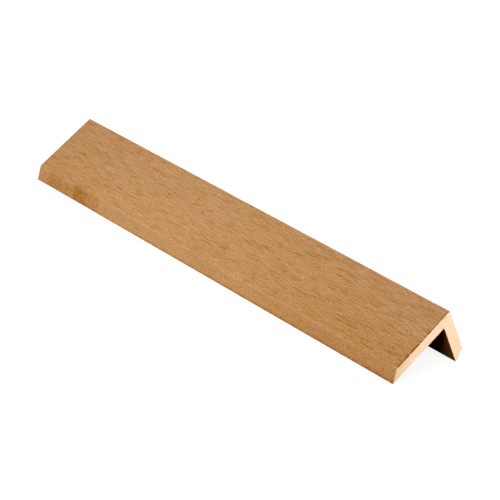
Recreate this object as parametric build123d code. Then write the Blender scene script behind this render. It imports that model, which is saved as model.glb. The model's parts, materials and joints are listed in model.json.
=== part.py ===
from build123d import *

import os
from math import atan2, cos, degrees, sin, tan

# Decking corner trim: a short length of solid wood-plastic composite angle.
# It was extruded in one piece and sawn square at both ends. It caps the corner
# where a deck's top boards meet its side. The free end of each leg is bevelled
# on the outside, so that the trim dies away to a thin edge on the boards.
# It rests ridge up on its two leg tips, as an upturned angle does on a floor.

# Driving dimensions, in millimetres
LENGTH = 350.0  # between the sawn ends
WIDE_LEG = 60.0  # outside of the corner to the wide leg's tip
NARROW_LEG = 45.0  # outside of the corner to the narrow leg's tip
THICKNESS = 8.5  # wall of both legs
WIDE_BEVEL_RUN = 7.5  # how far the wide leg's bevel runs along its outer face
NARROW_BEVEL_RUN = 5.5  # the same on the narrow leg
RIDGE_RADIUS = 0.8  # outside corner between the two legs
INSIDE_RADIUS = 0.5  # inside corner between the two legs
SHOULDER_RADIUS = 1.5  # where a leg's outer face turns into its bevel
TIP_RADIUS = 0.3  # where a leg's bevel meets its inner face


def angle_section():
    """The section, with the ridge at the origin, the wide leg along x and the narrow leg along y."""
    ridge = (0, 0)
    wide_shoulder = (WIDE_LEG - WIDE_BEVEL_RUN, 0)
    wide_tip = (WIDE_LEG, THICKNESS)
    inside_corner = (THICKNESS, THICKNESS)
    narrow_tip = (THICKNESS, NARROW_LEG)
    narrow_shoulder = (0, NARROW_LEG - NARROW_BEVEL_RUN)
    rounds = {
        ridge: RIDGE_RADIUS,
        wide_shoulder: SHOULDER_RADIUS,
        wide_tip: TIP_RADIUS,
        inside_corner: INSIDE_RADIUS,
        narrow_tip: TIP_RADIUS,
        narrow_shoulder: SHOULDER_RADIUS,
    }
    section = make_face(Polyline(*rounds, close=True))
    for corner, radius in rounds.items():
        section = fillet(section.vertices().sort_by_distance(corner)[0], radius)
    return section


def tip_centre(leg, bevel_run):
    """How far from the corner's outside the centre of a leg's rounded tip lies, along the leg."""
    tip_angle = atan2(THICKNESS, bevel_run)
    return leg - TIP_RADIUS / tan(tip_angle / 2)


def resting_slope():
    """The wide leg's slope, in radians, when the trim rests on both of its rounded tips."""
    inset = THICKNESS - TIP_RADIUS
    rise = tip_centre(NARROW_LEG, NARROW_BEVEL_RUN) - inset
    run = tip_centre(WIDE_LEG, WIDE_BEVEL_RUN) - inset
    return atan2(rise, run)


def corner_trim():
    """The whole trim: its length along X, ridge up, with the wide leg sloping down towards -Y."""
    slope = resting_slope()
    section_plane = Plane(origin=(0, 0, 0), x_dir=(0, -cos(slope), -sin(slope)), z_dir=(1, 0, 0))
    bar = extrude(section_plane * angle_section(), LENGTH / 2, both=True)
    box = bar.bounding_box()
    return Pos(0, -box.center().Y, -box.min.Z) * bar


def main():
    trim = corner_trim()
    os.makedirs("parts", exist_ok=True)
    export_step(trim, "parts/corner_trim.step")
    print("slope of the wide leg at rest, degrees:", round(degrees(resting_slope()), 3))
    print("volume, cubic millimetres:", round(trim.volume, 1))


main()
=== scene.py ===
"""Looks of a decking corner trim: brushed composite faces, smooth bevels, extruded skin and sawn ends."""

import json
from math import atan2, ceil, cos, pi, radians, sin, sqrt, tan

import bpy
import numpy as np
from mathutils import Matrix, Vector
from mathutils.geometry import delaunay_2d_cdt


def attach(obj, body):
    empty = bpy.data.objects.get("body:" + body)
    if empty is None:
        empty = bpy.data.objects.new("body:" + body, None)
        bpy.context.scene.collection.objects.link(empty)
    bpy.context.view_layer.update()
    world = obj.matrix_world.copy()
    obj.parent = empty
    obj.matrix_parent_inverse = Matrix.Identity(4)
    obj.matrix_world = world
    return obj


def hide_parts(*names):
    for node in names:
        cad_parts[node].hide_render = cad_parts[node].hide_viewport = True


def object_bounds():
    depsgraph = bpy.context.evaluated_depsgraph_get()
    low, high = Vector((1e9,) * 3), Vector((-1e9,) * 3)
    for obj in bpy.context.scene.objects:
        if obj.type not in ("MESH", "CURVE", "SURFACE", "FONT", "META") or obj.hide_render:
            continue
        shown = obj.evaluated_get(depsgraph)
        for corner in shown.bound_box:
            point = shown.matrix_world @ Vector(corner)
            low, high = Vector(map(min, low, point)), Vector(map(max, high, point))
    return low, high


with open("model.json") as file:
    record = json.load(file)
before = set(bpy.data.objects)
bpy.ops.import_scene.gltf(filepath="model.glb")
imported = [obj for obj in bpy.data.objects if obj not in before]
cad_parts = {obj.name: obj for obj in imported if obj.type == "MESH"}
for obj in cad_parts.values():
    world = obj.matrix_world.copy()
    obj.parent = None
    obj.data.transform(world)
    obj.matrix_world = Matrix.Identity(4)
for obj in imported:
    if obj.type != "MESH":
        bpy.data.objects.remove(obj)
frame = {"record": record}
cad_low, cad_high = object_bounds()


def srgb(red, green, blue):
    """A colour given as 0 to 255 display values, as linear red, green, blue and alpha."""
    values = [x / 255 for x in (red, green, blue)]
    return (*(x / 12.92 if x <= 0.04045 else ((x + 0.055) / 1.055) ** 2.4 for x in values), 1.0)


MM = 0.001  # one millimetre in metres

# Section of the trim, in millimetres: the ridge at the origin, wide leg along u and narrow leg along v
WIDE_LEG = 60.0
NARROW_LEG = 45.0
THICKNESS = 8.5
WIDE_BEVEL_RUN = 7.5
NARROW_BEVEL_RUN = 5.5
RIDGE_RADIUS = 0.8
INSIDE_RADIUS = 0.5
SHOULDER_RADIUS = 1.5
TIP_RADIUS = 0.3
WIDE_EDGE = WIDE_LEG - WIDE_BEVEL_RUN  # from the ridge to the wide leg's shoulder
NARROW_EDGE = NARROW_LEG - NARROW_BEVEL_RUN  # and to the narrow leg's

# Surfaces of the trim, in the order of its materials
BRUSHED, BEVEL, INNER, SAWN = range(4)

# Mesh, in millimetres
WIDE_SPACING = 0.3
NARROW_SPACING = 0.5
BEVEL_SPACING = 0.75
INNER_SPACING = 2.4
ARC_STEP = radians(18)
ARC_LEAST_STEPS = 3
ROW_SPACING = 1.35
END_ROWS = (0.0, 0.25, 0.55, 0.85, 1.2, 1.6)  # rows this far from each sawn end, before the even ones
CAP_SPACING = 0.8
CAP_CLEARANCE = 0.4  # the sawn ends' inner points keep this far from their outline
CAP_MERGE = 1e-7  # points of a sawn end that are nearer than this are one
INSIDE_ONLY = 1  # the triangulation's way to fill no more than the outline
INNER_SPLIT = 5.0  # distances from the ridge over the two legs meet this far past half of the outline
SHARP_ANGLE = radians(40)

# Brush strokes, in millimetres
SEED = 7  # of the random strokes and tears
STROKES_PER_MM2 = 0.16
STROKE_LENGTH = 7.0
STROKE_SPREAD = 0.55  # of the length's logarithm
STROKE_HALF_WIDTHS = (0.25, 0.4)
STROKE_DEPTH = 0.035
STROKE_DEPTH_LIMIT = 0.1
STROKE_LEAN = 0.015  # usual slope of a stroke against the length
GOUGES_PER_MM2 = 0.003
GOUGE_LENGTH = 9.0
GOUGE_SPREAD = STROKE_SPREAD / 2
GOUGE_HALF_WIDTHS = (0.25, 0.35)
GOUGE_DEPTHS = (0.06, 0.11)
BRUSH_FADE = 1.5  # the strokes die away over this width before a bevel
DARK_GROOVES = (0.01, 0.16)  # grooves turn dark from the first of these depths, and fully at the second
WEAR_AND_HIGHLIGHT_WIDTH = 1.2  # the band on each side of a shoulder, lighter partly from real rubbing and partly as a painted highlight

# Sawn ends, in millimetres
EDGE_BREAK = 0.06  # the saw leaves the outline of an end broken by about this much
EDGE_BREAK_SHARES = (0.5, 1.5)  # the least and the most of it from point to point
TEAR_DEPTH = 0.14  # the saw tears the brushed faces' edges by up to this much more
TEAR_REACH = 1.15  # how far along the stock a torn edge goes at the most
TEAR_REACH_SHARES = (0.7, 1.0)  # the least and the most of it from point to point
TEAR_SOFTNESS = 0.35  # a tear runs out over this length
TEAR_STRENGTHS = (0.25, 1.0)  # how torn an edge is at the ridge and at the wide leg's shoulder
TEAR_SPOTS = (0.2, 1.9)  # and by how much that changes from spot to spot
TEAR_STEP = 1.3  # how far apart across the stock the spots are
TORN_STRIP = 0.8  # the brown of a torn edge shows on the sawn end over this width
FAR_TEAR = 0.35  # how torn the far end is, as a share of the near end
SAW_CENTRE = (50.0, 91.0)  # the saw blade's middle, in the section's u and v
SAW_MARK_PITCH = 2.6
SAW_SLOW_PITCH = SAW_MARK_PITCH * 2.7  # a second, longer wave in the marks
SAW_MARK_DEPTH = 0.03
SAW_ARC_WIDTH = 1.4

# Stains on the wide bevel: start and end of each, in millimetres from the far end, and its strength
STAINS = (
    (10.8, 25.8, 0.48),
    (25.8, 28.4, 0.25),
    (28.4, 39.0, 0.42),
    (29.6, 30.6, 0.65),
    (39.0, 53.0, 1.08),
    (53.0, 65.5, 0.5),
)
STAIN_SOFTNESS = 1.2  # a stain starts and ends over this length
STAIN_OVERLAPS = (1.5, 1.0)  # the stains go this far past the bevel's shoulder and tip
STAIN_FADE = 2.0  # and fade there over this width
TIP_PAINTED_SHADE_WIDTHS = (1.4, 3.2)  # painted shade: the bevels darken over this much before their tips, where they rest on the floor, at the far and near ends
TIP_PAINTED_SHADES = (0.6, 1.0)  # and by this much

# Painted broad light and shade on the outer faces, as tones, with places in millimetres from the middle of
# the length and from the ridge
PAINTED_LIGHT_TONE = 0.08  # painted light: the outer faces are paler about one place on the length
PAINTED_LIGHT_PLACE = -72.0
PAINTED_LIGHT_SPREAD = 80.0
PAINTED_SHADE_TONE = 0.11  # painted shade: the wide leg is darker towards its shoulder at the near end
PAINTED_SHADE_ALONG = (-20.0, 175.0)
PAINTED_SHADE_ACROSS = (15.0, 55.0)
SHOULDER_PAINTED_SHADE_TONE = 0.045  # and a little painted shade beside its shoulder all along
SHOULDER_PAINTED_SHADE_ACROSS = (30.0, 45.0)
END_PAINTED_SHADE_TONE = 0.28  # painted shade: the sawn ends are darker towards the wide leg's tip
END_PAINTED_SHADE_ACROSS = (34.0, 58.0)

# Layout of the texture map, as shares of its side: the outline unrolled, with the two sawn ends above it
MAP_MARGIN = 0.008
MAP_SIDES_HEIGHT = 0.72
MAP_END_WIDTH = 0.5

# Colours
BROWN = srgb(191, 140, 87)
DARK_BROWN = srgb(161, 102, 25)
LIGHT_BROWN = srgb(208, 167, 125)
FLECK_BROWN = srgb(228, 190, 146)
TORN_BROWN = srgb(96, 49, 0)
EDGE_BROWN = srgb(156, 88, 0)
# the inner skin is darker than the outer faces, partly as the real unbrushed skin and partly as painted shade
# of the inside
SKIN_AND_PAINTED_SHADE_BROWN = srgb(164, 98, 26)
SKIN_AND_PAINTED_SHADE_DARK = srgb(128, 70, 12)
SKIN_AND_PAINTED_SHADE_LIGHT = srgb(188, 120, 44)
PEACH = srgb(238, 205, 170)
PEACH_DARK = srgb(224, 180, 134)
PEACH_LIGHT = srgb(246, 222, 196)
WHITE = (1.0, 1.0, 1.0, 1.0)

# Noises of the materials: length along the stock and width across it in millimetres, and the fine detail
STREAKS = (7.5, 0.22, 2.0)
FIBRES = (1.7, 0.25, 2.0)
MOTTLING = (20.0, 6.0, 2.0)
DASHES = (12.0, 0.5, 0.0)
STAIN_AND_PAINTED_SHADE_BLOTCHES = (6.0, 1.2, 3.0)
FLECKS = (1.3, 0.8, 0.0)
SPECKLE = (0.9, 0.6, 2.0)
BEVEL_MOTTLING = (24.0, 6.0, 2.0)
DIE_LINES = (60.0, 0.9, 2.0)
SKIN_MOTTLING = (14.0, 8.0, 3.0)
CUT_FIBRES = (3.0, 0.6, 3.0)
CUT_BLOTCHES = (20.0, 6.0, 2.0)
SAW_ARC_DETAIL = 2.0  # the fine detail of the saw's arcs
CRISP_STEP = 0.75  # a crisp noise is set off from itself this far to both sides, in millimetres
CRISP_SHARE = 0.13  # and loses this share of each side

# Values of the materials: a middle, and how much each noise in the comment changes it over its whole range
BRUSHED_TONES = (0.56, 1.97, 1.9, 0.25)  # streaks, fibres, mottling
BRUSHED_ROUGHNESS = (0.8, 0.3)  # streaks
BEVEL_TONES = (0.51, 2.0, 0.3)  # speckle, mottling
BEVEL_ROUGHNESS = (0.75, 0.25)  # speckle
SKIN_TONES = (0.5, 0.8, 0.8)  # die lines, mottling
SKIN_ROUGHNESS = (0.72, 0.3)  # mottling
SAWN_TONES = (0.5, 0.4, 0.5, 0.6)  # fibres, blotches, saw arcs
SAWN_ROUGHNESS = (0.85, 0.2)  # fibres

# How much marks change a tone or a colour, and the values of a noise between which patches of them appear
# a lighter band along the shoulders: partly real wear, partly a painted highlight
WEAR_AND_HIGHLIGHT_TONE = 0.08
# real stains on the wide bevel, and painted shade along the bevels' tips
STAIN_AND_PAINTED_SHADE_TONE = 0.55
STAIN_AND_PAINTED_SHADE_PATCHES = (0.05, 0.65)
DASH_TONE = 0.5
DASH_PATCHES = (0.645, 0.7)
FLECK_TINT = 0.7
FLECK_PATCHES = (0.74, 0.84)
GROOVE_TONE = 0.15
SAWN_TORN_TINT = 2.0

# Finish of the materials: the fine bump's relief in millimetres, and the specular level
BRUSHED_FINISH = (0.02, 0.08)
BEVEL_FINISH = (0.04, 0.1)
SKIN_FINISH = (0.04, 0.0)
SAWN_FINISH = (0.04, 0.1)

# Sockets of the Mix node that hold colours
MIX_COLOUR_A, MIX_COLOUR_B, MIX_COLOUR_OUT = 6, 7, 2

# Studio, in metres
FLOOR_HALF = 4.0
FLOOR_LIT = 0.03  # how much of its light the floor throws back on the object
FLOOR_GLOWS = (0.88, 1.0)  # the white that the floor shows by itself, near the trim and far from it
FLOOR_GLOW_REACH = (0.3, 0.9)  # near and far, from the middle
FLOOR_SHADE = 0.25  # how much of the light and shadow on it the floor shows besides
DOME_LEVEL = 0.03

# Soft boxes: azimuth and elevation in degrees, distance and size in metres, and level
LEFT_BOX = (-4, 30, 0.6, 0.4, 0.8)
RIGHT_BOX = (11, 30, 0.9, 0.28, 0.425)
END_BOX = (105, 8, 0.45, 0.2, 1.29)
BACK_BOX = (222, 12, 1.5, 0.8, 1.2)
LEFT_BOX_SHARE = 0.35  # the left box is turned to this share of the way from the middle to the far end

# Camera, as the photograph was taken: lens and sensor in millimetres, other lengths in metres
CAMERA_AZIMUTH = radians(41.107)
CAMERA_ELEVATION = radians(23.65)
CAMERA_ROLL = radians(9.736)
CAMERA_DISTANCE = 1342.66 * MM
CAMERA_LENS = 141.031
CAMERA_SENSOR = 36.0
CAMERA_CLIP_END = 20.0
CAMERA_AIM = Vector((7.989, 3.059, 13.76)) * MM


def smooth(x, start=0, end=1):
    """A soft step from 0 at the start to 1 at the end."""
    x = np.clip((x - start) / (end - start), 0, 1)
    return x * x * (3 - 2 * x)


# The section's outline


def rounded_corner(before, corner, after, radius):
    """Points and outward normals of the round at one corner of the outline, which runs anticlockwise."""
    arrive = (corner - before) / np.linalg.norm(corner - before)
    leave = (after - corner) / np.linalg.norm(after - corner)
    turn = atan2(arrive[0] * leave[1] - arrive[1] * leave[0], arrive @ leave)
    side = 1 if turn > 0 else -1
    first = np.array([arrive[1], -arrive[0]])
    start = corner - arrive * radius * tan(abs(turn) / 2)
    centre = start - side * radius * first
    angles = np.linspace(0, turn, max(ARC_LEAST_STEPS, ceil(abs(turn) / ARC_STEP)) + 1)
    cosines, sines = np.cos(angles), np.sin(angles)
    normals = np.stack([cosines * first[0] - sines * first[1], sines * first[0] + cosines * first[1]], 1)
    return centre + side * radius * normals, normals


def section_outline():
    """The outline's points, outward normals, and for each point the surface that follows it."""
    corners = [
        ((0, 0), RIDGE_RADIUS, BRUSHED),
        ((WIDE_EDGE, 0), SHOULDER_RADIUS, BEVEL),
        ((WIDE_LEG, THICKNESS), TIP_RADIUS, INNER),
        ((THICKNESS, THICKNESS), INSIDE_RADIUS, INNER),
        ((THICKNESS, NARROW_LEG), TIP_RADIUS, INNER),
        ((0, NARROW_EDGE), SHOULDER_RADIUS, BEVEL),
    ]
    runs = [
        (WIDE_SPACING, BRUSHED),
        (BEVEL_SPACING, BEVEL),
        (INNER_SPACING, INNER),
        (INNER_SPACING, INNER),
        (BEVEL_SPACING, BEVEL),
        (NARROW_SPACING, BRUSHED),
    ]
    places = [np.array(place, float) for place, _, _ in corners]
    count = len(corners)
    rounds = [
        rounded_corner(places[i - 1], places[i], places[(i + 1) % count], corners[i][1]) for i in range(count)
    ]
    points, normals, surfaces = [], [], []
    for i in range(count):
        arc, arc_normals = rounds[i]
        spacing, surface = runs[i]
        run_start, run_end = arc[-1], rounds[(i + 1) % count][0][0]
        steps = ceil(np.linalg.norm(run_end - run_start) / spacing)
        shares = np.arange(1, steps)[:, None] / steps
        points += [arc, run_start + shares * (run_end - run_start)]
        normals += [arc_normals, np.repeat(arc_normals[-1:], steps - 1, 0)]
        surfaces += [corners[i][2]] * (len(arc) - 1) + [surface] * steps
    return np.concatenate(points), np.concatenate(normals), np.array(surfaces)


def turned(u, v):
    """Section places turned to the slope at which the trim rests, which a mount in the record gives."""
    mount = next(m for m in frame["record"]["mounts"] if m["name"] == "wide_leg_inner_face")
    slope = atan2(mount["axis"][1], -mount["axis"][2])
    return -cos(slope) * u + sin(slope) * v, -sin(slope) * u - cos(slope) * v


def section_place(u, v):
    """Y and Z in metres of section places in millimetres, with the outline resting in the CAD box."""
    outline_y, outline_z = turned(*section_outline()[0].T)
    y, z = turned(u, v)
    return (y - outline_y.min()) * MM + cad_low.y, (z - outline_z.min()) * MM + cad_low.z


def row_places(length):
    """Places of the mesh rows along the stock, from one sawn end to the other."""
    steps = round((length - 2 * END_ROWS[-1]) / ROW_SPACING)
    middle = np.linspace(-length / 2 + END_ROWS[-1], length / 2 - END_ROWS[-1], steps + 1)
    near = np.array(END_ROWS[:-1])
    return np.concatenate([-length / 2 + near, middle, (length / 2 - near)[::-1]])


def outline_distances(points):
    """Distances round the outline, and from the ridge, which are negative over the narrow leg."""
    steps = np.linalg.norm(np.roll(points, -1, 0) - points, axis=1)
    round_outline = np.concatenate([[0], np.cumsum(steps)])
    perimeter = round_outline[-1]
    ridge_middle = RIDGE_RADIUS * pi / 4
    across = round_outline[:-1] - ridge_middle
    return round_outline, np.where(across > perimeter / 2 + INNER_SPLIT, across - perimeter, across)


def brushed_points(across):
    """Numbers of the outline's points on the two brushed faces, in order across them."""
    brushed = np.flatnonzero((across > -NARROW_EDGE) & (across < WIDE_EDGE))
    return brushed[np.argsort(across[brushed])]


# Relief of the brushed faces and the sawn ends


def press_stroke(depth, along, across, stroke, deepest):
    """Adds one stroke to the depth grid, or with deepest set, only deepens it to the stroke."""
    x, a, length, half_width, lean, full = stroke
    spread = half_width + abs(lean) * length / 2
    rows = slice(*np.searchsorted(along, (x - length / 2, x + length / 2)))
    columns = slice(*np.searchsorted(across, (a - spread, a + spread)))
    t = (along[rows, None] - x) / (length / 2)
    offset = (across[None, columns] - a - lean * (along[rows, None] - x)) / half_width
    shape = full * (1 - t * t) * np.clip(1 - offset * offset, 0, None) ** 2
    if deepest:
        depth[rows, columns] = np.maximum(depth[rows, columns], shape)
    else:
        depth[rows, columns] += shape


def scattered_stroke(along, across, length, length_spread, half_widths, draw):
    """A stroke at a random place, with a random length, half-width and lean but no depth yet."""
    return (
        draw.uniform(along[0], along[-1]),
        draw.uniform(across[0], across[-1]),
        length * draw.lognormal(0, length_spread),
        draw.uniform(*half_widths),
        draw.normal(0, STROKE_LEAN),
    )


def brush_depth(along, across, draw):
    """Depth of the brushed relief, in millimetres, at places along the stock and across both outer faces."""
    depth = np.zeros((len(along), len(across)))
    area = (along[-1] - along[0]) * (across[-1] - across[0])
    for _ in range(int(area * STROKES_PER_MM2)):
        stroke = scattered_stroke(along, across, STROKE_LENGTH, STROKE_SPREAD, STROKE_HALF_WIDTHS, draw)
        full = min(draw.exponential(STROKE_DEPTH), STROKE_DEPTH_LIMIT)
        press_stroke(depth, along, across, (*stroke, full), False)
    for _ in range(int(area * GOUGES_PER_MM2)):
        gouge = scattered_stroke(along, across, GOUGE_LENGTH, GOUGE_SPREAD, GOUGE_HALF_WIDTHS, draw)
        full = draw.uniform(*GOUGE_DEPTHS)
        press_stroke(depth, along, across, (*gouge, full), True)
    return depth


def torn_edge(from_end, across, draw):
    """How torn the stock is near a sawn end, from 0 to 1, at distances from the end and places across."""
    knots = np.arange(across.min() - TEAR_STEP, across.max() + 2 * TEAR_STEP, TEAR_STEP)
    spots = np.interp(across, knots, draw.uniform(*TEAR_SPOTS, len(knots)))
    strength = np.interp(across, (-RIDGE_RADIUS, 0, WIDE_EDGE), (0, *TEAR_STRENGTHS)) * spots
    reach = TEAR_REACH * draw.uniform(*TEAR_REACH_SHARES, len(across))
    return np.clip(strength, 0, 1) * np.clip((reach - from_end[:, None]) / TEAR_SOFTNESS, 0, 1)


def relief(along, across, surfaces):
    """Depth of the strokes, how torn the edges are, and how far in the sides' points lie for both."""
    draw = np.random.default_rng(SEED)
    brushed = brushed_points(across)
    on_wide = smooth(WIDE_EDGE - across[brushed], 0, BRUSH_FADE)
    on_narrow = smooth(NARROW_EDGE + across[brushed], 0, BRUSH_FADE)
    depth = np.zeros((len(along), len(across)))
    depth[:, brushed] = brush_depth(along, across[brushed], draw) * (on_wide * on_narrow)

    far_torn = FAR_TEAR * torn_edge(along - along[0], across, draw)
    near_torn = torn_edge(along[-1] - along, across, draw)
    torn = (far_torn + near_torn) * (surfaces == BRUSHED)
    inset = depth + TEAR_DEPTH * torn
    inset[[0, -1]] += EDGE_BREAK * draw.uniform(*EDGE_BREAK_SHARES, (2, len(across)))
    return depth, torn, inset


def saw_depth(places):
    """Depth of the saw's arcs on an end, in millimetres."""
    reach = np.hypot(places[:, 0] - SAW_CENTRE[0], places[:, 1] - SAW_CENTRE[1])
    wave = np.sin(reach * 2 * pi / SAW_MARK_PITCH) + np.sin(reach * 2 * pi / SAW_SLOW_PITCH)
    return SAW_MARK_DEPTH * (0.5 + wave / 4)


# Marks on the trim, and painted light and shade


def stain_strength(from_far_end):
    """How strongly the wide bevel is stained at each distance from the far end."""
    total = np.zeros_like(from_far_end)
    for start, end, strength in STAINS:
        inside = np.minimum(from_far_end - start, end - from_far_end)
        total = np.maximum(total, strength * smooth(inside / STAIN_SOFTNESS + 0.5))
    return total


def bevel_stain_and_painted_shade(along, across, surfaces):
    """How dark the bevels are made: real stains in patches on the wide one, and painted shade along the tips
    of both, where they rest on the floor.
    """
    bevel_width = sqrt(WIDE_BEVEL_RUN**2 + THICKNESS**2)
    past_shoulder, past_tip = STAIN_OVERLAPS
    below_shoulder = smooth(across - WIDE_EDGE + past_shoulder, 0, STAIN_FADE)
    above_tip = smooth(WIDE_EDGE + bevel_width + past_tip - across, 0, STAIN_FADE)
    patches = stain_strength(along - along[0])[:, None] * (below_shoulder * above_tip)[None]

    # painted shade along both bevels' tips
    before = np.roll(surfaces, 1)
    wide_tip = across[(surfaces == INNER) & (before == BEVEL)][0]
    narrow_tip = across[(surfaces == BEVEL) & (before == INNER)][0]
    from_tip = np.minimum(np.abs(across - wide_tip), np.abs(across - narrow_tip))
    ends = along[[0, -1]]
    width = np.interp(along, ends, TIP_PAINTED_SHADE_WIDTHS)[:, None]
    strength = np.interp(along, ends, TIP_PAINTED_SHADES)[:, None]
    return np.maximum(patches, strength * smooth(1 - from_tip[None] / width))


def painted_broad_light_and_shade(along, across, surfaces):
    """Painted light and shade: how much lighter or darker the outer faces are at places along the stock and
    across it.
    """
    pale = PAINTED_LIGHT_TONE * np.exp(-(((along - PAINTED_LIGHT_PLACE) / PAINTED_LIGHT_SPREAD) ** 2))
    near = smooth(along, *PAINTED_SHADE_ALONG)
    low = smooth(across, *PAINTED_SHADE_ACROSS)
    shoulder = SHOULDER_PAINTED_SHADE_TONE * smooth(across, *SHOULDER_PAINTED_SHADE_ACROSS) * (surfaces == BRUSHED)
    return pale[:, None] - PAINTED_SHADE_TONE * near[:, None] * low[None] - shoulder[None]


def side_marks(along, across, surfaces, depth, torn):
    """Marks, painted light and painted shade at the points of the trim's sides, by the names of the
    attributes that hold them.
    """
    shallow, deep = DARK_GROOVES
    # a lighter band beside each shoulder: partly real wear, partly a painted highlight
    from_shoulder = np.minimum(np.abs(across - WIDE_EDGE), np.abs(across + NARROW_EDGE))
    wear_and_painted_highlight = smooth(1 - from_shoulder / WEAR_AND_HIGHLIGHT_WIDTH)
    return {
        "groove": np.clip((depth - shallow) / (deep - shallow), 0, 1),
        # real stains, and painted shade along the bevels' tips
        "stain_and_painted_shade": bevel_stain_and_painted_shade(along, across, surfaces),
        "torn": torn,
        "wear_and_painted_highlight": np.repeat(wear_and_painted_highlight[None], len(along), 0),
        # painted broad light and shade
        "shade": painted_broad_light_and_shade(along, across, surfaces),
    }


def torn_on_end(inner, across, edge_torn):
    """How torn a sawn end's inner points are, below an edge that is torn by this much across the stock."""
    return smooth(1 - inner[:, 1] / TORN_STRIP) * np.interp(inner[:, 0], across, edge_torn)


# The trim's mesh


def inside_outline(places, ring):
    """Which places lie inside a closed ring, by counting the ring's edges that each place's ray crosses."""
    after = np.roll(ring, -1, 0)
    crossings = np.zeros(len(places), int)
    for (u0, v0), (u1, v1) in zip(ring, after):
        if v0 == v1:
            continue
        spans = (v0 > places[:, 1]) != (v1 > places[:, 1])
        reach = u0 + (places[:, 1] - v0) * (u1 - u0) / (v1 - v0)
        crossings += spans & (places[:, 0] < reach)
    return crossings % 2 == 1


def cap_faces(ring):
    """Inner points of a sawn end, and triangles over the ring's points followed by those inner points."""
    low, high = ring.min(0), ring.max(0)
    rows = np.arange(low[1], high[1], CAP_SPACING * sqrt(3) / 2)
    grid = [
        (u + (i % 2) * CAP_SPACING / 2, v)
        for i, v in enumerate(rows)
        for u in np.arange(low[0], high[0], CAP_SPACING)
    ]
    grid = np.array(grid)
    gap = np.linalg.norm(grid[:, None] - ring[None], axis=2).min(1)
    inner = grid[inside_outline(grid, ring) & (gap > CAP_CLEARANCE)]
    points = [Vector(p) for p in np.concatenate([ring, inner])]
    loop = list(range(len(ring)))
    made = delaunay_2d_cdt(points, [], [loop], INSIDE_ONLY, CAP_MERGE)
    source = [ids[0] for ids in made[3]]
    return inner, [[source[i] for i in face] for face in made[2]]


def cap_ids(faces, ring_count, ring_start, inner_start):
    """A sawn end's triangles, with the mesh's numbers of its ring's points and inner points."""
    return [
        [ring_start + i if i < ring_count else inner_start + i - ring_count for i in face] for face in faces
    ]


def side_faces(rows, columns):
    """Faces of the sides, over a grid of points that closes round the outline."""
    grid = np.arange(rows * columns).reshape(rows, columns)
    ahead = np.roll(grid, -1, 1)
    return np.stack([grid[:-1], ahead[:-1], ahead[1:], grid[1:]], 2).reshape(-1, 4)


def texture_map(along, round_outline, caps, cap_places):
    """Map places of every face corner: the sides unrolled along the map, and each sawn end above them."""
    width = 1 - 2 * MAP_MARGIN
    s = MAP_MARGIN + (along - along[0]) / (along[-1] - along[0]) * width
    t = MAP_MARGIN + round_outline / round_outline[-1] * MAP_SIDES_HEIGHT
    rows, columns = len(along) - 1, len(round_outline) - 1
    sides_s = np.stack([s[:-1], s[:-1], s[1:], s[1:]], 1)[:, None].repeat(columns, 1)
    sides_t = np.stack([t[:-1], t[1:], t[1:], t[:-1]], 1)[None].repeat(rows, 0)
    corners = [np.stack([sides_s, sides_t], 3).reshape(-1, 2)]

    bottom = MAP_SIDES_HEIGHT + 2 * MAP_MARGIN
    low, high = cap_places.min(0), cap_places.max(0)
    room = np.array((MAP_END_WIDTH - 2 * MAP_MARGIN, 1 - MAP_MARGIN - bottom))
    scale = (room / (high - low)).min()
    for i, faces in enumerate(caps):
        corner = (i * MAP_END_WIDTH + MAP_MARGIN, bottom)
        corners.append(corner + (cap_places[np.concatenate(faces)] - low) * scale)
    return np.concatenate(corners)


def build_trim():
    """The trim as one closed mesh, with its relief cut in and its marks as point attributes."""
    points, normals, surfaces = section_outline()
    along = row_places((cad_high.x - cad_low.x) / MM)
    round_outline, across = outline_distances(points)
    depth, torn, inset = relief(along, across, surfaces)
    rows, columns = inset.shape
    sides = points[None] - inset[:, :, None] * normals[None]

    first_inner, first_faces = cap_faces(sides[0])
    last_inner, last_faces = cap_faces(sides[-1])
    side_count = rows * columns
    first_cap = [ids[::-1] for ids in cap_ids(first_faces, columns, 0, side_count)]
    last_cap = cap_ids(last_faces, columns, side_count - columns, side_count + len(first_inner))

    first_x = along[0] + saw_depth(first_inner)
    last_x = along[-1] - saw_depth(last_inner)
    x = np.concatenate([np.repeat(along, columns), first_x, last_x])
    y, z = section_place(*np.concatenate([sides.reshape(-1, 2), first_inner, last_inner]).T)
    vertices = np.stack([x * MM, y, z], 1)

    mesh = bpy.data.meshes.new("corner_trim_brushed")
    mesh.from_pydata(vertices.tolist(), [], side_faces(rows, columns).tolist() + first_cap + last_cap)
    side_surfaces = np.tile(surfaces, rows - 1)
    cap_surfaces = np.full(len(first_cap) + len(last_cap), SAWN)
    mesh.polygons.foreach_set("material_index", np.concatenate([side_surfaces, cap_surfaces]))
    mesh.polygons.foreach_set("use_smooth", np.ones(len(mesh.polygons), bool))
    mesh.set_sharp_from_angle(angle=SHARP_ANGLE)
    layout = texture_map(along, round_outline, (first_cap, last_cap), vertices[:, 1:] / MM)
    mesh.uv_layers.new(name="OFBake").data.foreach_set("uv", layout.astype(np.float32).ravel())

    brushed = brushed_points(across)
    first_torn = torn_on_end(first_inner, across[brushed], torn[0, brushed])
    last_torn = torn_on_end(last_inner, across[brushed], torn[-1, brushed])
    cap_marks = {"torn": np.concatenate([first_torn, last_torn])}
    no_marks = np.zeros(len(first_inner) + len(last_inner))
    for name, values in side_marks(along, across, surfaces, depth, torn).items():
        flat = np.concatenate([values.ravel(), cap_marks.get(name, no_marks)]).astype(np.float32)
        mesh.attributes.new(name, "FLOAT", "POINT").data.foreach_set("value", flat)
    mesh.validate()
    mesh.update()
    trim = bpy.data.objects.new("corner_trim_brushed", mesh)
    bpy.context.scene.collection.objects.link(trim)
    return trim


# Nodes


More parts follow.
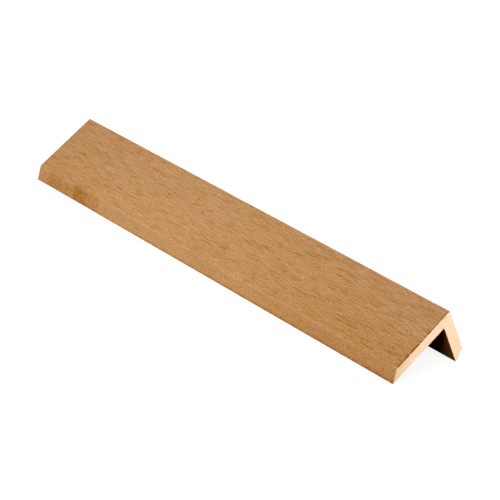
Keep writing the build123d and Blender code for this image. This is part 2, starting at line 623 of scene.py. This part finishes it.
def add_node(tree, kind, inputs=None, **settings):
    """A new node; each input is a value or another node's output."""
    node = tree.nodes.new(kind)
    for name, value in settings.items():
        setattr(node, name, value)
    for name, value in (inputs or {}).items():
        if isinstance(value, bpy.types.NodeSocket):
            tree.links.new(value, node.inputs[name])
        else:
            node.inputs[name].default_value = value
    return node


def calculate(tree, operation, first, second):
    """The output of one sum on two values."""
    return add_node(tree, "ShaderNodeMath", {0: first, 1: second}, operation=operation).outputs[0]


def vector_sum(tree, operation, *values):
    """A node for one sum on vectors."""
    return add_node(tree, "ShaderNodeVectorMath", dict(enumerate(values)), operation=operation)


def less(tree, tone, amount, weight):
    """A tone made darker by a weight times an amount."""
    return calculate(tree, "SUBTRACT", tone, calculate(tree, "MULTIPLY", amount, weight))


def varied(tree, values, *noises):
    """A middle value changed by noises about 0.5: the values are the middle, then each noise's weight."""
    middle, *weights = values
    total = middle - sum(weight / 2 for weight in weights)
    for noise, weight in zip(noises, weights):
        total = calculate(tree, "ADD", calculate(tree, "MULTIPLY", noise, weight), total)
    return total


def object_place(tree):
    """Places in a piece's own frame, in metres."""
    return add_node(tree, "ShaderNodeTexCoord").outputs["Object"]


def stretched_noise(tree, along, across, detail, shift=0.0):
    """Noise in streaks this long on the stock's length and this wide, shifted this far down the wide leg."""
    scale = (1 / (along * MM), 1 / (across * MM), 1 / (across * MM))
    location = (0, *turned(shift / across, 0))
    inputs = {"Vector": object_place(tree), "Scale": scale, "Location": location}
    scaled = add_node(tree, "ShaderNodeMapping", inputs).outputs[0]
    return add_node(tree, "ShaderNodeTexNoise", {"Vector": scaled, "Scale": 1.0, "Detail": detail}).outputs[0]


def crisp_noise(tree, along, across, detail):
    """Stretched noise less a share of what lies on both sides of it, so that thin streaks stand out."""
    below = stretched_noise(tree, along, across, detail, CRISP_STEP)
    above = stretched_noise(tree, along, across, detail, -CRISP_STEP)
    sides = calculate(tree, "MULTIPLY", calculate(tree, "ADD", below, above), CRISP_SHARE)
    middle = calculate(tree, "ADD", stretched_noise(tree, along, across, detail), CRISP_SHARE)
    return calculate(tree, "SUBTRACT", middle, sides)


def attribute(tree, name):
    """One of the mesh's point attributes."""
    return add_node(tree, "ShaderNodeAttribute", attribute_name=name).outputs["Fac"]


def colour_ramp(tree, value, colours):
    """Colours spread evenly over values from 0 to 1."""
    node = add_node(tree, "ShaderNodeValToRGB", {"Fac": value})
    elements = node.color_ramp.elements
    while len(elements) < len(colours):
        elements.new(0.5)
    for i, colour in enumerate(colours):
        elements[i].position = i / (len(colours) - 1)
        elements[i].color = colour
    return node.outputs["Color"]


def tinted(tree, colour, amount, tint):
    """A colour mixed towards a tint by an amount from 0 to 1."""
    inputs = {"Factor": amount, MIX_COLOUR_A: colour, MIX_COLOUR_B: tint}
    node = add_node(tree, "ShaderNodeMix", inputs, data_type="RGBA", clamp_factor=True)
    return node.outputs[MIX_COLOUR_OUT]


def patchy(tree, amount, noise, low, high):
    """An amount broken up by a noise: none of it where the noise is low, all of it where it is high."""
    node = add_node(tree, "ShaderNodeMapRange", {"Value": noise, "From Min": low, "From Max": high})
    return calculate(tree, "MULTIPLY", amount, node.outputs[0])


# Materials


def new_material(name):
    """A material with no nodes yet."""
    material = bpy.data.materials.new(name)
    material.use_nodes = True
    material.node_tree.nodes.clear()
    return material


def finish_material(material, colour, roughness, height, relief_depth, specular):
    """Puts a colour, a roughness and a fine bump of this depth in millimetres on the material."""
    tree = material.node_tree
    bump_inputs = {"Height": height, "Distance": relief_depth * MM, "Strength": 1.0}
    bump = add_node(tree, "ShaderNodeBump", bump_inputs)
    inputs = {
        "Base Color": colour,
        "Roughness": roughness,
        "Normal": bump.outputs[0],
        "Specular IOR Level": specular,
    }
    surface = add_node(tree, "ShaderNodeBsdfPrincipled", inputs)
    output = add_node(tree, "ShaderNodeOutputMaterial")
    tree.links.new(surface.outputs[0], output.inputs["Surface"])
    return material


def outer_colour(tree, tone):
    """The outer faces' colour for a tone about 0.5: with painted broad light and shade, wear with a painted
    highlight along the shoulders, stains with painted shade along the bevels' tips, and pale flecks.
    """
    # painted broad light and shade
    tone = calculate(tree, "ADD", tone, attribute(tree, "shade"))
    # lighter along the shoulders: partly real wear, partly a painted highlight
    tone = calculate(tree, "ADD", tone, calculate(tree, "MULTIPLY", attribute(tree, "wear_and_painted_highlight"), WEAR_AND_HIGHLIGHT_TONE))
    blotches = stretched_noise(tree, *STAIN_AND_PAINTED_SHADE_BLOTCHES)
    # darker where stained, and painted shade along the bevels' tips
    stain_and_painted_shade = patchy(tree, attribute(tree, "stain_and_painted_shade"), blotches, *STAIN_AND_PAINTED_SHADE_PATCHES)
    colour = colour_ramp(tree, less(tree, tone, stain_and_painted_shade, STAIN_AND_PAINTED_SHADE_TONE), (DARK_BROWN, BROWN, LIGHT_BROWN))
    flecks = patchy(tree, FLECK_TINT, stretched_noise(tree, *FLECKS), *FLECK_PATCHES)
    return tinted(tree, colour, flecks, FLECK_BROWN)


def brushed_material():
    """Outer faces: fine fibres along the length, darker in the brushed grooves and torn at the sawn ends."""
    material = new_material("brushed_composite")
    tree = material.node_tree
    streaks = crisp_noise(tree, *STREAKS)
    fibres = crisp_noise(tree, *FIBRES)
    mottling = stretched_noise(tree, *MOTTLING)
    tone = varied(tree, BRUSHED_TONES, streaks, fibres, mottling)
    dashes = patchy(tree, DASH_TONE, stretched_noise(tree, *DASHES), *DASH_PATCHES)
    tone = calculate(tree, "SUBTRACT", tone, dashes)
    tone = less(tree, tone, attribute(tree, "groove"), GROOVE_TONE)
    colour = tinted(tree, outer_colour(tree, tone), attribute(tree, "torn"), TORN_BROWN)
    roughness = varied(tree, BRUSHED_ROUGHNESS, streaks)
    return finish_material(material, colour, roughness, streaks, *BRUSHED_FINISH)


def bevel_material():
    """Bevels: smooth, with a fine even speckle and the stains near one end."""
    material = new_material("smooth_bevel")
    tree = material.node_tree
    speckle = stretched_noise(tree, *SPECKLE)
    mottling = stretched_noise(tree, *BEVEL_MOTTLING)
    colour = outer_colour(tree, varied(tree, BEVEL_TONES, speckle, mottling))
    roughness = varied(tree, BEVEL_ROUGHNESS, speckle)
    return finish_material(material, colour, roughness, speckle, *BEVEL_FINISH)


def skin_material():
    """Inner faces: the skin that the die left, darker partly as the real skin and partly as painted shade of
    the inside, with faint lines along the length.
    """
    material = new_material("extruded_skin")
    tree = material.node_tree
    lines = stretched_noise(tree, *DIE_LINES)
    mottling = stretched_noise(tree, *SKIN_MOTTLING)
    tone = varied(tree, SKIN_TONES, lines, mottling)
    # darker partly as painted shade of the inside
    colour = colour_ramp(tree, tone, (SKIN_AND_PAINTED_SHADE_DARK, SKIN_AND_PAINTED_SHADE_BROWN, SKIN_AND_PAINTED_SHADE_LIGHT))
    roughness = varied(tree, SKIN_ROUGHNESS, mottling)
    return finish_material(material, colour, roughness, lines, *SKIN_FINISH)


def saw_arcs(tree):
    """Noise in thin arcs about the saw blade's middle."""
    centre = (0, *section_place(*SAW_CENTRE))
    from_centre = vector_sum(tree, "SUBTRACT", object_place(tree), centre).outputs[0]
    flat = vector_sum(tree, "MULTIPLY", from_centre, (0, 1, 1)).outputs[0]
    reach = vector_sum(tree, "LENGTH", flat).outputs["Value"]
    inputs = {"W": reach, "Scale": 1 / (SAW_ARC_WIDTH * MM), "Detail": SAW_ARC_DETAIL}
    return add_node(tree, "ShaderNodeTexNoise", inputs, noise_dimensions="1D").outputs[0]


def end_painted_shade(tree):
    """Painted shade: how much darker a sawn end is towards the wide leg's tip."""
    side = add_node(tree, "ShaderNodeSeparateXYZ", {0: object_place(tree)}).outputs["Y"]
    start, end = (section_place(u, THICKNESS / 2)[0] for u in END_PAINTED_SHADE_ACROSS)
    inputs = {"Value": side, "From Min": start, "From Max": end, "To Min": 0.0, "To Max": END_PAINTED_SHADE_TONE}
    return add_node(tree, "ShaderNodeMapRange", inputs, interpolation_type="SMOOTHSTEP").outputs[0]


def sawn_material():
    """Sawn ends: pale cut fibres with faint arcs of the saw, brown below a torn edge."""
    material = new_material("sawn_end")
    tree = material.node_tree
    fibres = stretched_noise(tree, *CUT_FIBRES)
    blotches = stretched_noise(tree, *CUT_BLOTCHES)
    arcs = saw_arcs(tree)
    tone = varied(tree, SAWN_TONES, fibres, blotches, arcs)
    # painted shade towards the wide leg's tip
    tone = calculate(tree, "SUBTRACT", tone, end_painted_shade(tree))
    colour = colour_ramp(tree, tone, (PEACH_DARK, PEACH, PEACH_LIGHT))
    torn = calculate(tree, "MULTIPLY", attribute(tree, "torn"), SAWN_TORN_TINT)
    colour = tinted(tree, colour, torn, EDGE_BROWN)
    roughness = varied(tree, SAWN_ROUGHNESS, fibres)
    return finish_material(material, colour, roughness, arcs, *SAWN_FINISH)


# Studio


def seen_directly(tree):
    """1 for rays that show the background itself, straight or by gloss or glass, and 0 for light."""
    path = add_node(tree, "ShaderNodeLightPath").outputs
    shown = calculate(tree, "MAXIMUM", path["Is Camera Ray"], path["Is Glossy Ray"])
    return calculate(tree, "MAXIMUM", shown, path["Is Transmission Ray"])


def show_one(tree, light, shown, output_kind):
    """Ends a node tree with one shader for light and another for what is seen directly."""
    inputs = {0: seen_directly(tree), 1: light.outputs[0], 2: shown.outputs[0]}
    mix = add_node(tree, "ShaderNodeMixShader", inputs)
    output = add_node(tree, output_kind)
    tree.links.new(mix.outputs[0], output.inputs["Surface"])


def matte(tree, level):
    """A matte grey shader."""
    return add_node(tree, "ShaderNodeBsdfDiffuse", {"Color": (level, level, level, 1)})


def floor_material():
    """A white that shows a pale shadow, and throws little light back."""
    material = new_material("pale_floor")
    tree = material.node_tree
    reach = vector_sum(tree, "LENGTH", object_place(tree)).outputs["Value"]
    near, far = FLOOR_GLOW_REACH
    near_glow, far_glow = FLOOR_GLOWS
    inputs = {"Value": reach, "From Min": near, "From Max": far, "To Min": near_glow, "To Max": far_glow}
    strength = add_node(tree, "ShaderNodeMapRange", inputs).outputs[0]
    glow = add_node(tree, "ShaderNodeEmission", {"Color": WHITE, "Strength": strength})
    shade = matte(tree, FLOOR_SHADE)
    shown = add_node(tree, "ShaderNodeAddShader", {0: shade.outputs[0], 1: glow.outputs[0]})
    show_one(tree, matte(tree, FLOOR_LIT), shown, "ShaderNodeOutputMaterial")
    return material


def floor():
    """A wide white floor under the trim."""
    half, level = FLOOR_HALF, cad_low.z
    corners = [(-half, -half, level), (half, -half, level), (half, half, level), (-half, half, level)]
    mesh = bpy.data.meshes.new("floor")
    mesh.from_pydata(corners, [], [(0, 1, 2, 3)])
    mesh.materials.append(floor_material())
    plane = bpy.data.objects.new("floor", mesh)
    bpy.context.scene.collection.objects.link(plane)


def sky():
    """An even dome of light, which shows as plain white."""
    world = bpy.data.worlds.new("soft_dome")
    world.use_nodes = True
    tree = world.node_tree
    tree.nodes.clear()
    light = add_node(tree, "ShaderNodeBackground", {"Color": WHITE, "Strength": DOME_LEVEL})
    white = add_node(tree, "ShaderNodeBackground", {"Color": WHITE, "Strength": 1.0})
    show_one(tree, light, white, "ShaderNodeOutputWorld")
    bpy.context.scene.world = world


def direction(azimuth, elevation):
    """The unit vector towards this side; azimuth 0 is the -Y side and 90 degrees the +X side."""
    return Vector((sin(azimuth) * cos(elevation), -cos(azimuth) * cos(elevation), sin(elevation)))


def soft_box(name, target, azimuth, elevation, distance, size, level):
    """A square lamp turned to a target; level is how bright a white face there, turned to it, looks."""
    data = bpy.data.lights.new(name, "AREA")
    data.size = size
    data.energy = level * (pi * distance) ** 2
    lamp = bpy.data.objects.new(name, data)
    towards = direction(radians(azimuth), radians(elevation))
    lamp.location = target + towards * distance
    lamp.rotation_mode = "QUATERNION"
    lamp.rotation_quaternion = (-towards).to_track_quat("-Z", "Y")
    lamp.visible_camera = False
    bpy.context.scene.collection.objects.link(lamp)


def lamps():
    """Two soft boxes in front, left and right of the middle, one at the near end, and a low one behind."""
    far_half = Vector((cad_low.x * LEFT_BOX_SHARE, 0, cad_high.z / 2))
    near_end = Vector((cad_high.x, 0, cad_high.z / 2))
    soft_box("left_box", far_half, *LEFT_BOX)
    soft_box("right_box", near_end, *RIGHT_BOX)
    soft_box("end_box", near_end, *END_BOX)
    soft_box("back_box", Vector((0, 0, 0)), *BACK_BOX)


def camera():
    """The camera at the photograph's place."""
    data = bpy.data.cameras.new("camera")
    data.sensor_width = CAMERA_SENSOR
    data.lens = CAMERA_LENS
    data.clip_end = CAMERA_CLIP_END
    eye = bpy.data.objects.new("camera", data)
    back = direction(CAMERA_AZIMUTH, CAMERA_ELEVATION)
    level = (-back).to_track_quat("-Z", "Y")
    eye.rotation_mode = "QUATERNION"
    eye.rotation_quaternion = level @ Matrix.Rotation(CAMERA_ROLL, 3, "Z").to_quaternion()
    eye.location = CAMERA_AIM + back * CAMERA_DISTANCE
    bpy.context.scene.collection.objects.link(eye)
    bpy.context.scene.camera = eye


trim = build_trim()
for material in (brushed_material(), bevel_material(), skin_material(), sawn_material()):
    trim.data.materials.append(material)
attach(trim, "root")
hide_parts("corner_trim")

floor()
sky()
lamps()
camera()
bpy.context.scene.view_settings.view_transform = "Standard"
